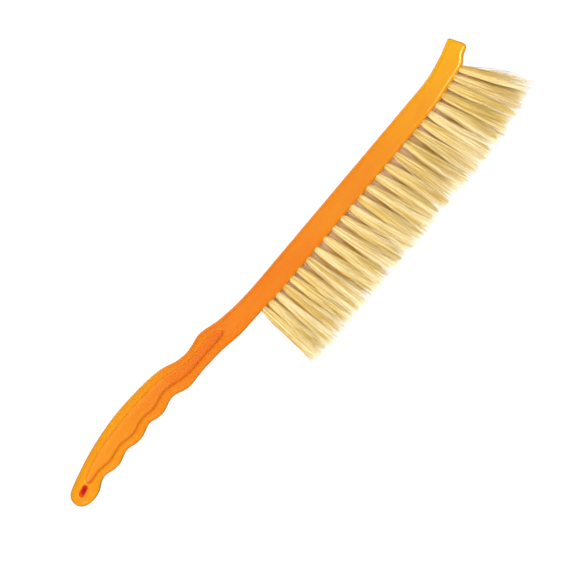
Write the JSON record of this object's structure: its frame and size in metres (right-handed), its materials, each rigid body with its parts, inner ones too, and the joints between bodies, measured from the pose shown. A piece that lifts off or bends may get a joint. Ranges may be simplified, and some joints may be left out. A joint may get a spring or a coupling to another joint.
{
  "type": "bee brush",
  "caption": "Long moulded hand brush with a finger-grooved grip, a hang slot and a straight head with two staggered rows of flexible bristle tufts.",
  "frame": {"origin": "centre of the hang slot at the end of the grip, on the handle's middle plane", "axes": "+X along the straight head towards its tip, +Z away from the bristles, Y through the thickness, with the front row of tufts at -Y"},
  "size_m": [0.416, 0.02, 0.0807],
  "materials": {
    "handle_plastic": "glossy orange, slightly translucent injection-moulded plastic",
    "bristle_fibre": "pale cream natural-look bristle",
    "staple_steel": "plain drawn steel strip"
  },
  "bodies": {
    "handle": {"handle": "handle_plastic", "front_tuft_roots": "bristle_fibre", "back_tuft_roots": "bristle_fibre", "front_anchor_staples": "staple_steel", "back_anchor_staples": "staple_steel"},
    "front_bristles": {"front_tuft_01": "bristle_fibre", "front_tuft_02": "bristle_fibre", "front_tuft_03": "bristle_fibre", "front_tuft_04": "bristle_fibre", "front_tuft_05": "bristle_fibre", "front_tuft_06": "bristle_fibre", "front_tuft_07": "bristle_fibre", "front_tuft_08": "bristle_fibre", "front_tuft_09": "bristle_fibre", "front_tuft_10": "bristle_fibre", "front_tuft_11": "bristle_fibre", "front_tuft_12": "bristle_fibre", "front_tuft_13": "bristle_fibre", "front_tuft_14": "bristle_fibre", "front_tuft_15": "bristle_fibre", "front_tuft_16": "bristle_fibre", "front_tuft_17": "bristle_fibre", "front_tuft_18": "bristle_fibre", "front_tuft_19": "bristle_fibre", "front_tuft_20": "bristle_fibre", "front_tuft_21": "bristle_fibre", "front_tuft_22": "bristle_fibre", "front_tuft_23": "bristle_fibre", "front_tuft_24": "bristle_fibre", "front_tuft_25": "bristle_fibre", "front_tuft_26": "bristle_fibre"},
    "back_bristles": {"back_tuft_01": "bristle_fibre", "back_tuft_02": "bristle_fibre", "back_tuft_03": "bristle_fibre", "back_tuft_04": "bristle_fibre", "back_tuft_05": "bristle_fibre", "back_tuft_06": "bristle_fibre", "back_tuft_07": "bristle_fibre", "back_tuft_08": "bristle_fibre", "back_tuft_09": "bristle_fibre", "back_tuft_10": "bristle_fibre", "back_tuft_11": "bristle_fibre", "back_tuft_12": "bristle_fibre", "back_tuft_13": "bristle_fibre", "back_tuft_14": "bristle_fibre", "back_tuft_15": "bristle_fibre", "back_tuft_16": "bristle_fibre", "back_tuft_17": "bristle_fibre", "back_tuft_18": "bristle_fibre", "back_tuft_19": "bristle_fibre", "back_tuft_20": "bristle_fibre", "back_tuft_21": "bristle_fibre", "back_tuft_22": "bristle_fibre", "back_tuft_23": "bristle_fibre", "back_tuft_24": "bristle_fibre", "back_tuft_25": "bristle_fibre"}
  },
  "joints": [
    {"name": "front_row_flex", "type": "hinge", "parent": "handle", "child": "front_bristles", "pos_m": [0.28, -0.0044, -0.0177], "axis": [1, 0, 0], "range_deg": [-25, 25], "stiffness_Nm_per_rad": 0.1},
    {"name": "back_row_flex", "type": "hinge", "parent": "handle", "child": "back_bristles", "pos_m": [0.28, 0.0044, -0.0177], "axis": [1, 0, 0], "range_deg": [-25, 25], "stiffness_Nm_per_rad": 0.1}
  ],
  "couplings": [
    {"joint": "back_row_flex", "follows": "front_row_flex", "ratio": 1}
  ]
}
